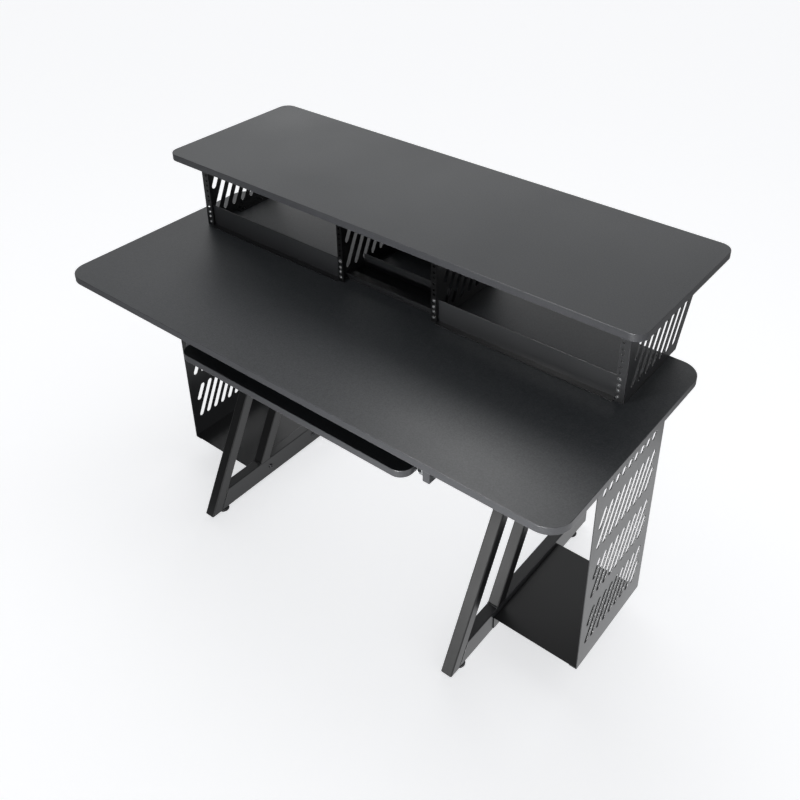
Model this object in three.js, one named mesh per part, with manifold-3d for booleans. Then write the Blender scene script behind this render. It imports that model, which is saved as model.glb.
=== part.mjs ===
// Studio desk with a raised shelf over three equipment bays, a sliding keyboard tray,
// two leaning leg frames on levelling feet and two perforated computer holders.
// Millimetres, +Z up. Inside this file Y runs from the front edge of the desk top (0) to the
// rear, X from the middle to the viewer's right, and Z from the floor. The finished group is
// moved so that its origin lies on the floor under the middle of the whole desk.
import * as THREE from 'three';
import { mergeVertices } from 'three/addons/utils/BufferGeometryUtils.js';
import Module from 'manifold-3d';

const wasm = await Module();
wasm.setup();

// General
const fitGap = 0.3; // clearance between pieces that touch
const cutOverrun = 5; // how far a cutting solid reaches past what it cuts
const sheet = 2; // thickness of every folded steel sheet
const snapStep = 0.001; // solids meet on this grid, so that level faces are exactly level
const halfTurn = Math.PI;
const roundSides = 16;
const smallSides = 10;
const hexSides = 6;
const cornerSegments = 8;
const tubeCornerSegments = 2;
const slotEndSegments = 4;

// Boards
const boardThickness = 18;
const desk = { width: 1406, depth: 593, topHeight: 723, cornerRadius: 50 };
const shelf = { width: 1338, depth: 427, frontY: 321, clearHeight: 198.6, cornerRadius: 30 };

// Keyboard tray, its slides and hangers
const tray = { width: 675, depth: 370, frontY: 30, dropBelowDesk: 75, cornerRadius: 30 };
const slide = { height: 35, space: 12.7, length: 300, wall: 1.2, gap: 0.7, lipInset: 4 };
const hanger = { thickness: 18, height: 115, length: 330, frontY: 75 };

// Leg frames
const frameFromHanger = 22.1; // side gap between a tray hanger and its leg frame
const tube = { thickness: 30, wall: 2, innerRadius: 1 };
const rail = { height: 58, frontY: 89.5, rearY: 700, underside: 12.4 };
const leg = { section: 30, slope: 0.518, strutSpacing: 156 };
const headRail = { height: 60, frontY: 80, pastStrut: 5 };
const beam = { height: 60, pastHanger: 27, aheadOfStrut: 1 };
const cap = { depth: 12, flange: 2, clearance: 0.5 };

// Levelling feet
const foot = { fromRailEnd: 50, radius: 16, toeRadius: 14.5, toeHeight: 1.5, rimHeight: 2.5 };
const footNeck = { radius: 8, rise: 2.5, collar: 2.5 };
const stud = { radius: 4, top: 34 };
const bush = { radius: 6.5, flangeRadius: 8.5, flangeHeight: 1.2, length: 12 };

// Computer holders
const panel = { fromDeskEnd: 54.5, frontY: 258, rearY: 555.2, baseHeight: 50.4, topFlange: 25, baseFlange: 20 };
const panelSlot = { width: 14, pitch: 27.2, slope: 0.475, margin: 23, firstY: 284 };
const slotBand = { count: 4, fromBase: 60.9, fromTop: 36.1, height: 110 };
const plate = { frontY: 258, rearY: 552, railFlange: 37.7 };
const bolt = { radius: 3, headRadius: 6.5, headHeight: 3.6, frontY: 311, rearY: 484.5, height: 40.7, tail: 2 };
const nut = { radius: 5.8, height: 5, bore: 3.8 };

// Rack uprights
const rackHole = { radius: 3.5, first: 12.5, count: 12, wideStep: 15.875, narrowStep: 12.7 };
const bayHoleSpacing = 465.1;
const divider = { holeX: 141.3, holeFromWeb: 7.55, flange: 15.85 };
const outerUpright = { holeFromEdge: 7.5, flange: 22.6 };
const upright = { frontY: 382.5, rearY: 620, rearSlope: 0.465, tab: 20, tabFrontY: 482, tabRearY: 585 };
const uprightSlot = { width: 15, pitch: 31.4, foot: 21.7, head: 177, firstY: 411.5, margin: 26, rearMargin: 18 };

// Front strips, centre tray and centre back
const strip = { frontY: 390.5, height: 58, flange: 14 };
const centreTray = { frontY: 403, lip: 15, lipReturn: 20, rearY: 476, rearHeight: 35 };
const centreBack = { frontY: 588, flange: 20 };

// Worked-out places
const deskUnderside = desk.topHeight - boardThickness;
const shelfUnderside = desk.topHeight + shelf.clearHeight;
const trayTop = deskUnderside - tray.dropBelowDesk;
const slideCentreZ = trayTop - boardThickness / 2;
const hangerInnerX = tray.width / 2 + slide.space;
const frameCentreX = hangerInnerX + hanger.thickness + frameFromHanger + tube.thickness / 2;
const frameInnerX = frameCentreX - tube.thickness / 2;
const frameOuterX = frameCentreX + tube.thickness / 2;
const railTop = rail.underside + rail.height;
const railCentreZ = rail.underside + rail.height / 2;
const headCentreZ = deskUnderside - headRail.height / 2;
const headUnderside = deskUnderside - headRail.height;
const slantFactor = Math.hypot(1, leg.slope); // horizontal run of a leaning tube's unit width
const strutTopY = rail.frontY + leg.strutSpacing + leg.slope * (headUnderside - rail.underside);
const headRailRearY = strutTopY + leg.section * slantFactor + headRail.pastStrut;
const outerHoleX = divider.holeX + bayHoleSpacing;
const outerWebX = outerHoleX - outerUpright.holeFromEdge + outerUpright.flange;
const dividerWebX = divider.holeX + divider.holeFromWeb;
const panelOuterX = desk.width / 2 - panel.fromDeskEnd;
const panelInnerX = panelOuterX - sheet;

// Materials
const laminate = new THREE.MeshStandardMaterial({ color: 0x2b2b2d, roughness: 0.55, metalness: 0 });
const coatedSteel = new THREE.MeshStandardMaterial({ color: 0x242526, roughness: 0.42, metalness: 0.2 });
const zinc = new THREE.MeshStandardMaterial({ color: 0xb9bcc0, roughness: 0.3, metalness: 1 });
const plastic = new THREE.MeshStandardMaterial({ color: 0x141415, roughness: 0.5, metalness: 0 });
const blackSteel = new THREE.MeshStandardMaterial({ color: 0x1d1e1f, roughness: 0.35, metalness: 0.9 });

const model = new THREE.Group();
const sides = [['left', -1], ['right', 1]];

// Adds one named piece, with a material of its own.
function addPiece(name, geometry, material) {
  const mesh = new THREE.Mesh(geometry, material.clone());
  mesh.name = name;
  model.add(mesh);
}

// Turns a three.js geometry into a solid for cutting and joining.
function toSolid(geometry) {
  const bare = geometry.clone();
  bare.deleteAttribute('normal');
  bare.deleteAttribute('uv');
  const merged = mergeVertices(bare);
  const snap = (value) => Math.round(value / snapStep) * snapStep;
  return new wasm.Manifold(new wasm.Mesh({
    numProp: 3,
    vertProperties: Float32Array.from(merged.attributes.position.array, snap),
    triVerts: new Uint32Array(merged.index.array),
  }));
}

// Turns a solid back into a three.js geometry.
function toGeometry(solid) {
  const mesh = solid.getMesh();
  const geometry = new THREE.BufferGeometry();
  geometry.setAttribute('position', new THREE.BufferAttribute(mesh.vertProperties, mesh.numProp));
  geometry.setIndex(new THREE.BufferAttribute(mesh.triVerts, 1));
  return geometry;
}

function joinAll(geometries) {
  return geometries.map(toSolid).reduce((all, next) => all.add(next));
}

function cutAll(solid, cutters) {
  return cutters.length === 0 ? solid : solid.subtract(joinAll(cutters));
}

// A block between two corners. Side -1 gives its mirror image on the left.
function block(side, x0, y0, z0, x1, y1, z1) {
  const geometry = new THREE.BoxGeometry(x1 - x0, y1 - y0, z1 - z0);
  geometry.translate(side * (x0 + x1) / 2, (y0 + y1) / 2, (z0 + z1) / 2);
  return geometry;
}

function polygon(points) {
  return new THREE.Shape(points.map(([a, b]) => new THREE.Vector2(a, b)));
}

function extrude(outline, depth) {
  return new THREE.ExtrudeGeometry(outline, { depth, bevelEnabled: false });
}

// An outline of the YZ plane, extruded from x0 to x1 on the side given.
function extrudeAlongX(side, outline, x0, x1) {
  const geometry = extrude(outline, x1 - x0);
  geometry.rotateY(halfTurn / 2);
  geometry.rotateX(halfTurn / 2);
  geometry.translate(side > 0 ? x0 : -x1, 0, 0);
  return geometry;
}

// An outline of the XZ plane, extruded from y0 to y1.
function extrudeAlongY(outline, y0, y1) {
  const geometry = extrude(outline, y1 - y0);
  geometry.rotateX(halfTurn / 2);
  geometry.translate(0, y1, 0);
  return geometry;
}

// A rectangle with round corners, centred on (cx, cy).
function roundedRectangle(cx, cy, width, height, radius, segments) {
  const points = [];
  const reachX = width / 2 - radius;
  const reachY = height / 2 - radius;
  const corners = [[1, -1], [1, 1], [-1, 1], [-1, -1]];
  corners.forEach(([signX, signY], index) => {
    for (let i = 0; i <= segments; i += 1) {
      const angle = (index - 1 + i / segments) * halfTurn / 2;
      points.push([
        cx + signX * reachX + radius * Math.cos(angle),
        cy + signY * reachY + radius * Math.sin(angle),
      ]);
    }
  });
  return polygon(points);
}

// A board with round corners, its upper face at topZ.
function board(width, depth, frontY, topZ, cornerRadius) {
  const outline = roundedRectangle(0, frontY + depth / 2, width, depth, cornerRadius, cornerSegments);
  const geometry = extrude(outline, boardThickness);
  geometry.translate(0, 0, topZ - boardThickness);
  return geometry;
}

// The inside outline of a tube of that height, drawn in by an inset.
function boreOutline(height, inset) {
  const less = 2 * (tube.wall + inset);
  return roundedRectangle(0, 0, tube.thickness - less, height - less, tube.innerRadius, tubeCornerSegments);
}

function tubeOutline(height) {
  const radius = tube.innerRadius + tube.wall;
  return roundedRectangle(0, 0, tube.thickness, height, radius, tubeCornerSegments);
}

// A rectangular tube, its thickness across X and its height along Z, from y0 to y1.
function tubeAlongY(height, y0, y1) {
  const outline = tubeOutline(height);
  outline.holes.push(boreOutline(height, 0));
  return extrudeAlongY(outline, y0, y1);
}

// A square tube that leans back as the legs do, cut level at both ends. Its front face
// crosses the rail's underside at footY.
function leaningTube(centreX, footY, lowZ, highZ) {
  const lean = Math.atan(leg.slope);
  const geometry = tubeAlongY(leg.section, -2 * leg.section, (highZ - lowZ) * slantFactor + 2 * leg.section);
  geometry.translate(0, 0, -leg.section / 2);
  geometry.rotateX(halfTurn / 2 - lean);
  geometry.translate(centreX, footY + leg.slope * (lowZ - rail.underside), lowZ);
  const reach = Math.abs(centreX) + tube.thickness;
  const slab = block(1, -reach, 0, lowZ, reach, footY + 2 * (highZ - lowZ) + reach, highZ);
  return toGeometry(toSolid(geometry).intersect(toSolid(slab)));
}

// A plug for a tube's end, its flange towards +Y, with the tube ending at 0.
function tubeCap(height) {
  const plug = extrudeAlongY(boreOutline(height, cap.clearance), -cap.depth, cap.flange);
  const flange = extrudeAlongY(tubeOutline(height), 0, cap.flange);
  return toGeometry(joinAll([plug, flange]));
}

function cylinder(radius, length, segments) {
  return new THREE.CylinderGeometry(radius, radius, length, segments);
}

function barAlongX(side, x0, x1, y, z, radius) {
  const geometry = cylinder(radius, x1 - x0, smallSides);
  geometry.rotateZ(halfTurn / 2);
  geometry.translate(side * (x0 + x1) / 2, y, z);
  return geometry;
}

function barAlongY(x, y0, y1, z, radius) {
  const geometry = cylinder(radius, y1 - y0, smallSides);
  geometry.translate(x, (y0 + y1) / 2, z);
  return geometry;
}

function barAlongZ(x, y, z0, z1, radius) {
  const geometry = cylinder(radius, z1 - z0, roundSides);
  geometry.rotateX(halfTurn / 2);
  geometry.translate(x, y, (z0 + z1) / 2);
  return geometry;
}

function lathe(profile, segments) {
  return new THREE.LatheGeometry(profile.map(([r, h]) => new THREE.Vector2(r, h)), segments);
}

// A turned piece standing at (x, y), from [radius, height] pairs.
function turnedUpright(profile, x, y) {
  const geometry = lathe(profile, roundSides);
  geometry.rotateX(halfTurn / 2);
  geometry.translate(x, y, 0);
  return geometry;
}

// A turned piece lying across, from [radius, distance from the middle of the desk] pairs.
function turnedAcross(side, profile, y, z, segments) {
  const geometry = lathe(profile, segments);
  geometry.rotateZ(-side * halfTurn / 2);
  geometry.translate(0, y, z);
  return geometry;
}

// One leaning slot with round ends, between the centres of its ends.
function slotCutter(side, slot, low, high, x0, x1) {
  const lean = Math.atan(slot.slope);
  const points = [];
  for (const [[y, z], start] of [[low, 1], [high, 0]]) {
    for (let i = 0; i <= slotEndSegments; i += 1) {
      const angle = (start + i / slotEndSegments) * halfTurn - lean;
      points.push([y + slot.width / 2 * Math.cos(angle), z + slot.width / 2 * Math.sin(angle)]);
    }
  }
  return extrudeAlongX(side, polygon(points), x0, x1);
}

// A row of leaning slots between two heights. A slot that would cross the front or the rear
// limit is shortened there, and left out where little of it would remain.
function slotRow(side, slot, area, x0, x1) {
  const radius = slot.width / 2;
  const run = slot.slope * (area.head - area.foot);
  const first = Math.ceil((area.front - run - slot.firstY) / slot.pitch);
  const last = Math.floor((area.rearAtFoot - radius - slot.firstY) / slot.pitch);
  const cutters = [];
  for (let i = first; i <= last; i += 1) {
    const y = slot.firstY + i * slot.pitch;
    const low = Math.max(area.foot + radius, area.foot + (area.front + radius - y) / slot.slope);
    const high = Math.min(area.head - radius, area.foot + (area.rearAtHead - radius - y) / slot.slope);
    if (high - low > slot.width) {
      const ends = [low, high].map((z) => [y + slot.slope * (z - area.foot), z]);
      cutters.push(slotCutter(side, slot, ends[0], ends[1], x0 - cutOverrun, x1 + cutOverrun));
    }
  }
  return cutters;
}

// A U section of the slides. Its web's outer face is at x0 and its lips end at x1.
function slideMember(side, x0, x1, height) {
  const low = slideCentreZ - height / 2;
  const high = slideCentreZ + height / 2;
  const web = x0 + Math.sign(x1 - x0) * slide.wall;
  const points = [[x0, low], [x1, low], [x1, low + slide.wall], [web, low + slide.wall],
    [web, high - slide.wall], [x1, high - slide.wall], [x1, high], [x0, high]];
  const outline = polygon(points.map(([x, z]) => [side * x, z]));
  return extrudeAlongY(outline, hanger.frontY, hanger.frontY + slide.length);
}

// Boards
addPiece('desk_top', board(desk.width, desk.depth, 0, desk.topHeight, desk.cornerRadius), laminate);
addPiece('upper_shelf', board(shelf.width, shelf.depth, shelf.frontY,
  shelfUnderside + boardThickness, shelf.cornerRadius), laminate);
addPiece('keyboard_tray', board(tray.width, tray.depth, tray.frontY, trayTop, tray.cornerRadius), laminate);

// Hangers and slides of the keyboard tray
for (const [word, side] of sides) {
  addPiece(`tray_hanger_${word}`, block(side, hangerInnerX, hanger.frontY, deskUnderside - hanger.height,
    hangerInnerX + hanger.thickness, hanger.frontY + hanger.length, deskUnderside), laminate);
  const step = slide.wall + slide.gap;
  const trayX = tray.width / 2;
  addPiece(`slide_outer_${word}`,
    slideMember(side, hangerInnerX, trayX + slide.lipInset, slide.height), zinc);
  addPiece(`slide_middle_${word}`,
    slideMember(side, hangerInnerX - step, trayX + slide.lipInset - slide.gap, slide.height - 2 * step), zinc);
  addPiece(`slide_inner_${word}`,
    slideMember(side, trayX, hangerInnerX - 2 * step, slide.height - 4 * step), zinc);
}

// Leg frames
function footPlaces() {
  return [rail.frontY + foot.fromRailEnd, rail.rearY - foot.fromRailEnd];
}

function bottomRail(side) {
  const frontAt = (z) => rail.frontY + (leg.section + fitGap) * slantFactor + leg.slope * (z - rail.underside);
  const outline = polygon([[frontAt(rail.underside), rail.underside], [rail.rearY, rail.underside],
    [rail.rearY, railTop], [frontAt(railTop), railTop]]);
  const slanted = extrudeAlongX(side, outline, frameInnerX, frameOuterX);
  const whole = tubeAlongY(rail.height, rail.frontY, rail.rearY);
  whole.translate(side * frameCentreX, 0, railCentreZ);
  const cutters = [];
  for (const y of footPlaces()) {
    cutters.push(barAlongZ(side * frameCentreX, y, rail.underside - cutOverrun,
      rail.underside + tube.wall + cutOverrun, bush.radius + fitGap));
  }
  for (const y of [bolt.frontY, bolt.rearY]) {
    cutters.push(barAlongX(side, frameInnerX - cutOverrun, frameOuterX + cutOverrun, y, bolt.height,
      bolt.radius + fitGap));
  }
  return toGeometry(cutAll(toSolid(whole).intersect(toSolid(slanted)), cutters));
}

for (const [word, side] of sides) {
  const x = side * frameCentreX;
  addPiece(`bottom_rail_${word}`, bottomRail(side), coatedSteel);
  addPiece(`front_leg_${word}`,
    leaningTube(x, rail.frontY, rail.underside, headUnderside - fitGap), coatedSteel);
  addPiece(`rear_strut_${word}`,
    leaningTube(x, rail.frontY + leg.strutSpacing, railTop + fitGap, headUnderside - fitGap), coatedSteel);

  const head = tubeAlongY(headRail.height, headRail.frontY, headRailRearY);
  head.translate(x, 0, headCentreZ);
  addPiece(`head_rail_${word}`, head, coatedSteel);

  const railCap = tubeCap(rail.height);
  railCap.translate(x, rail.rearY + fitGap, railCentreZ);
  addPiece(`bottom_rail_cap_${word}`, railCap, plastic);

  const rearCap = tubeCap(headRail.height);
  rearCap.translate(x, headRailRearY + fitGap, headCentreZ);
  addPiece(`head_rail_cap_rear_${word}`, rearCap, plastic);

  const frontCap = tubeCap(headRail.height);
  frontCap.rotateZ(halfTurn);
  frontCap.translate(x, headRail.frontY - fitGap, headCentreZ);
  addPiece(`head_rail_cap_front_${word}`, frontCap, plastic);
}

// Cross beams between the head rails
const beamFrontY = hanger.frontY + hanger.length + beam.pastHanger;
const beamRearY = strutTopY - beam.aheadOfStrut - tube.thickness;
for (const [word, y] of [['front', beamFrontY], ['rear', beamRearY]]) {
  const reach = frameInnerX - fitGap;
  const geometry = tubeAlongY(beam.height, -reach, reach);
  geometry.rotateZ(halfTurn / 2);
  geometry.translate(0, y + tube.thickness / 2, deskUnderside - beam.height / 2);
  addPiece(`cross_beam_${word}`, geometry, coatedSteel);
}

// Levelling feet and their threaded bushes
for (const [word, side] of sides) {
  footPlaces().forEach((y, index) => {
    const place = `${index === 0 ? 'front' : 'rear'}_${word}`;
    const neckBase = foot.rimHeight + footNeck.rise;
    addPiece(`levelling_foot_${place}`, turnedUpright([[0, 0], [foot.toeRadius, 0],
      [foot.radius, foot.toeHeight], [foot.radius, foot.rimHeight], [footNeck.radius, neckBase],
      [footNeck.radius, neckBase + footNeck.collar], [stud.radius, neckBase + footNeck.collar],
      [stud.radius, stud.top], [0, stud.top]], side * frameCentreX, y), plastic);
    const flangeLow = rail.underside - bush.flangeHeight;
    const bore = stud.radius + fitGap;
    addPiece(`foot_bush_${place}`, turnedUpright([[bush.flangeRadius, flangeLow],
      [bush.flangeRadius, rail.underside], [bush.radius, rail.underside],
      [bush.radius, rail.underside + bush.length], [bore, rail.underside + bush.length],
      [bore, flangeLow], [bush.flangeRadius, flangeLow]], side * frameCentreX, y), zinc);
  });
}

// Computer holders
function holderPanel(side) {
  const base = panel.baseHeight;
  const solid = joinAll([
    block(side, panelInnerX, panel.frontY, base, panelOuterX, panel.rearY, deskUnderside),
    block(side, panelOuterX - panel.topFlange, panel.frontY, deskUnderside - sheet,
      panelOuterX, panel.rearY, deskUnderside),
    block(side, panelOuterX - panel.baseFlange, panel.frontY, base,
      panelOuterX, panel.rearY, base + sheet),
  ]);
  const cutters = [];
  const lowestFoot = base + slotBand.fromBase;
  const highestFoot = deskUnderside - slotBand.fromTop - slotBand.height;
  for (let band = 0; band < slotBand.count; band += 1) {
    const bandFoot = lowestFoot + (highestFoot - lowestFoot) * band / (slotBand.count - 1);
    const rearLimit = panel.rearY - panelSlot.margin;
    const area = {
      foot: bandFoot, head: bandFoot + slotBand.height, front: panel.frontY + panelSlot.margin,
      rearAtFoot: rearLimit, rearAtHead: rearLimit,
    };
    cutters.push(...slotRow(side, panelSlot, area, panelInnerX, panelOuterX));
  }
  return toGeometry(cutAll(solid, cutters));
}

function holderPlate(side) {
  const low = panel.baseHeight + sheet;
  const innerX = frameOuterX + fitGap;
  const solid = joinAll([
    block(side, innerX, plate.frontY, low, panelInnerX - fitGap, plate.rearY, low + sheet),
    block(side, innerX, plate.frontY, low + sheet - plate.railFlange, innerX + sheet, plate.rearY, low + sheet),
  ]);
  const cutters = [bolt.frontY, bolt.rearY].map((y) => barAlongX(side, innerX - cutOverrun,
    innerX + sheet + cutOverrun, y, bolt.height, bolt.radius + fitGap));
  return toGeometry(cutAll(solid, cutters));
}

for (const [word, side] of sides) {
  addPiece(`holder_panel_${word}`, holderPanel(side), coatedSteel);
  addPiece(`holder_plate_${word}`, holderPlate(side), coatedSteel);
  for (const [place, y] of [['front', bolt.frontY], ['rear', bolt.rearY]]) {
    const headX = frameInnerX - fitGap;
    const nutX = frameOuterX + fitGap + sheet + fitGap;
    const tailX = nutX + nut.height + bolt.tail;
    addPiece(`holder_bolt_${place}_${word}`, turnedAcross(side, [[0, headX - bolt.headHeight],
      [bolt.headRadius, headX - bolt.headHeight], [bolt.headRadius, headX], [bolt.radius, headX],
      [bolt.radius, tailX], [0, tailX]], y, bolt.height, roundSides), blackSteel);
    addPiece(`holder_nut_${place}_${word}`, turnedAcross(side, [[nut.radius, nutX],
      [nut.radius, nutX + nut.height], [nut.bore, nutX + nut.height], [nut.bore, nutX],
      [nut.radius, nutX]], y, bolt.height, hexSides), blackSteel);
  }
}

// Rack uprights: the outer pair and the pair beside the middle bay
function rackHoleHeights() {
  const heights = [desk.topHeight + rackHole.first];
  for (let i = 1; i < rackHole.count; i += 1) {
    const step = i % 3 === 2 ? rackHole.narrowStep : rackHole.wideStep;
    heights.push(heights[i - 1] + step);
  }
  return heights;
}

function rackUpright(side, webX, flangeWidth, holeX) {
  const rearAt = (z) => upright.rearY + upright.rearSlope * (z - desk.topHeight);
  const web = polygon([[upright.frontY, desk.topHeight], [upright.rearY, desk.topHeight],
    [rearAt(shelfUnderside), shelfUnderside], [upright.frontY, shelfUnderside]]);
  const solid = joinAll([
    extrudeAlongX(side, web, webX - sheet, webX),
    block(side, webX - flangeWidth, upright.frontY, desk.topHeight,
      webX, upright.frontY + sheet, shelfUnderside),
    block(side, webX - upright.tab, upright.frontY, shelfUnderside - sheet,
      webX, rearAt(shelfUnderside) - 2 * sheet, shelfUnderside),
    block(side, webX - upright.tab, upright.tabFrontY, desk.topHeight,
      webX, upright.tabRearY, desk.topHeight + sheet),
  ]);
  const slotFoot = desk.topHeight + uprightSlot.foot;
  const slotHead = desk.topHeight + uprightSlot.head;
  const area = {
    foot: slotFoot, head: slotHead, front: upright.frontY + uprightSlot.margin,
    rearAtFoot: rearAt(slotFoot) - uprightSlot.rearMargin,
    rearAtHead: rearAt(slotHead) - uprightSlot.rearMargin,
  };
  const slot = { ...uprightSlot, slope: upright.rearSlope };
  const cutters = slotRow(side, slot, area, webX - sheet, webX);
  for (const z of rackHoleHeights()) {
    cutters.push(barAlongY(side * holeX, upright.frontY - cutOverrun,
      upright.frontY + sheet + cutOverrun, z, rackHole.radius));
  }
  return toGeometry(cutAll(solid, cutters));
}

for (const [word, side] of sides) {
  addPiece(`rack_upright_${word}`,
    rackUpright(side, outerWebX, outerUpright.flange, outerHoleX), coatedSteel);
  addPiece(`rack_divider_${word}`,
    rackUpright(side, dividerWebX, divider.flange, divider.holeX), coatedSteel);
}

// Front strips of the side bays
for (const [word, side] of sides) {
  const railEdgeX = outerWebX - outerUpright.flange;
  const innerX = dividerWebX + fitGap;
  const rearY = strip.frontY + sheet;
  addPiece(`bay_strip_${word}`, toGeometry(joinAll([
    block(side, innerX, strip.frontY, desk.topHeight, outerWebX - sheet - fitGap, rearY,
      desk.topHeight + strip.height),
    block(side, innerX, rearY - strip.flange, desk.topHeight, railEdgeX - fitGap, rearY,
      desk.topHeight + sheet),
  ])), coatedSteel);
}

// Cable tray and back of the middle bay
function centreTrayGeometry() {
  const base = desk.topHeight;
  const { frontY, rearY } = centreTray;
  const lipTop = base + centreTray.lip;
  const rearTop = base + centreTray.rearHeight;
  const outline = polygon([[frontY, base], [rearY, base], [rearY, rearTop], [rearY - sheet, rearTop],
    [rearY - sheet, base + sheet], [frontY + sheet, base + sheet], [frontY + sheet, lipTop - sheet],
    [frontY + centreTray.lipReturn, lipTop - sheet], [frontY + centreTray.lipReturn, lipTop],
    [frontY, lipTop]]);
  const reach = dividerWebX - sheet - fitGap;
  return extrudeAlongX(1, outline, -reach, reach);
}

function centreBackGeometry() {
  const reach = dividerWebX - sheet - fitGap;
  const { frontY } = centreBack;
  const rearY = frontY + centreBack.flange;
  const outline = polygon([[-reach, frontY], [reach, frontY], [reach, rearY], [reach - sheet, rearY],
    [reach - sheet, frontY + sheet], [sheet - reach, frontY + sheet], [sheet - reach, rearY],
    [-reach, rearY]]);
  const geometry = extrude(outline, shelf.clearHeight - sheet - 2 * fitGap);
  geometry.translate(0, 0, desk.topHeight + fitGap);
  return geometry;
}

addPiece('centre_cable_tray', centreTrayGeometry(), coatedSteel);
addPiece('centre_back_panel', centreBackGeometry(), coatedSteel);

model.position.y = -(shelf.frontY + shelf.depth) / 2;
model.updateMatrixWorld(true);

export default model;
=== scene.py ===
import math
import bpy
from mathutils import Matrix, Vector


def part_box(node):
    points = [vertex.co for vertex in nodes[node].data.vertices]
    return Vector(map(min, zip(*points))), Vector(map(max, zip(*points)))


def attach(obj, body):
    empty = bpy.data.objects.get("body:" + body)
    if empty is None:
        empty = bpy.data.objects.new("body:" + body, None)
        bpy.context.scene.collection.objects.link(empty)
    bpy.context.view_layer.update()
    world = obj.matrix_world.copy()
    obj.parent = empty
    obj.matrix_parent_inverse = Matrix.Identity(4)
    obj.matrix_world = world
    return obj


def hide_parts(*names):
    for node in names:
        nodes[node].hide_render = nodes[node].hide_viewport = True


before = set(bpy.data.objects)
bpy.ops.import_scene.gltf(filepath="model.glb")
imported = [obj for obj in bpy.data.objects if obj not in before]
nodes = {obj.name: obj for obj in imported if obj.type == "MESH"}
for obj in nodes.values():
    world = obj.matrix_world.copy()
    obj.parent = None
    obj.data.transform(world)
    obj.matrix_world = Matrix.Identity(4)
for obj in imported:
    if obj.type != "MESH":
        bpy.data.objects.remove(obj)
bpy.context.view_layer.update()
sides = {"left": -1, "right": 1}
print("frame loaded:", len(nodes), "nodes")

# Camera: the photograph is the upper part of a taller picture, so the lens is shifted
cameraValues = {
    "place": (1.23769, -1.42017, 1.94476),
    "lookDown": 31.0608,
    "turn": 37.4226,
    "roll": 0.287,
    "focalPixels": 958.62,
    "centrePixel": (435.1, 270.0),
    "imagePixels": 800,
    "sensorWidth": 36,
    "clip": (0.05, 60),
}


def setUpCamera(values):
    lens = bpy.data.cameras.new("camera")
    lens.sensor_width = values["sensorWidth"]
    lens.lens = values["focalPixels"] / values["imagePixels"] * values["sensorWidth"]
    half = values["imagePixels"] / 2
    lens.shift_x = (half - values["centrePixel"][0]) / values["imagePixels"]
    lens.shift_y = (values["centrePixel"][1] - half) / values["imagePixels"]
    lens.clip_start, lens.clip_end = values["clip"]
    camera = bpy.data.objects.new("camera", lens)
    bpy.context.scene.collection.objects.link(camera)
    camera.location = values["place"]
    turn, tilt, roll = (math.radians(values[key]) for key in ("turn", "lookDown", "roll"))
    aim = Matrix.Rotation(turn, 3, "Z") @ Matrix.Rotation(math.pi / 2 - tilt, 3, "X")
    camera.rotation_euler = (aim @ Matrix.Rotation(roll, 3, "Z")).to_euler()
    bpy.context.scene.camera = camera


setUpCamera(cameraValues)
print("camera ready")


# Small helpers for modelling, in metres and degrees. Corners nearer than "near" to a plane lie on
# it, cutting pieces reach "past" what they cut, and "facing" is a normal's share along its axis.
near = 0.0001
past = 0.001
facing = 0.99
mergeDistance = 0.00001
mergeAngle = 0.5
usualAngle = 40
hexagon = 6
sortPoint = (0.0613, 0.0237, -0.0871)
crestShare, rootShare = 0.15, 0.6  # where a thread's crest and root lie within its pitch


def camelName(nodeName):
    words = nodeName.split("_")
    return words[0] + "".join(word.capitalize() for word in words[1:])


def deselectAll():
    if bpy.context.object and bpy.context.object.mode != "OBJECT":
        bpy.ops.object.mode_set(mode="OBJECT")
    bpy.ops.object.select_all(action="DESELECT")


def pick(piece):
    deselectAll()
    piece.select_set(True)
    bpy.context.view_layer.objects.active = piece


def placeInMesh(piece):
    pick(piece)
    bpy.ops.object.transform_apply(location=True, rotation=True, scale=True)


def startBlock(name, low, high):
    deselectAll()
    low, high = Vector(low), Vector(high)
    bpy.ops.mesh.primitive_cube_add(size=1, location=(low + high) / 2)
    piece = bpy.context.object
    piece.name = piece.data.name = name
    piece.scale = high - low
    placeInMesh(piece)
    return piece


def startDisc(name, radius, low, high, sidesRound):
    deselectAll()
    bpy.ops.mesh.primitive_cylinder_add(vertices=sidesRound, radius=radius, depth=high - low,
                                        location=(0, 0, (low + high) / 2))
    piece = bpy.context.object
    piece.name = piece.data.name = name
    placeInMesh(piece)
    return piece


def turnUp(name, rings, sidesRound):
    # a turned piece about the Z axis: each ring is (radius, height), from the lower face up
    deselectAll()
    radius, height = rings[0]
    bpy.ops.mesh.primitive_circle_add(vertices=sidesRound, radius=radius, fill_type="NGON",
                                      location=(0, 0, height))
    piece = bpy.context.object
    piece.name = piece.data.name = name
    placeInMesh(piece)
    bpy.context.tool_settings.mesh_select_mode = (False, False, True)
    bpy.ops.object.mode_set(mode="EDIT")
    bpy.ops.mesh.select_all(action="SELECT")
    for nextRadius, nextHeight in rings[1:]:
        bpy.ops.mesh.extrude_region_move(TRANSFORM_OT_translate={"value": (0, 0, nextHeight - height)})
        scale = nextRadius / radius
        bpy.ops.transform.resize(value=(scale, scale, 1), center_override=(0, 0, nextHeight))
        radius, height = nextRadius, nextHeight
    bpy.ops.mesh.select_all(action="SELECT")
    bpy.ops.mesh.normals_make_consistent(inside=False)
    # extruded faces come in a new order at each run, so they are sorted
    bpy.context.scene.cursor.location = sortPoint
    bpy.ops.mesh.sort_elements(type="CURSOR_DISTANCE", elements={"EDGE", "FACE"})
    editDone()
    return piece


def ridgeRings(low, high, pitch, marks):
    # rings that repeat at each pitch: every mark is (radius, share of the pitch)
    rings = []
    for step in range(int((high - low) / pitch)):
        rings += [(radius, low + (step + share) * pitch) for radius, share in marks]
    return rings


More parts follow.
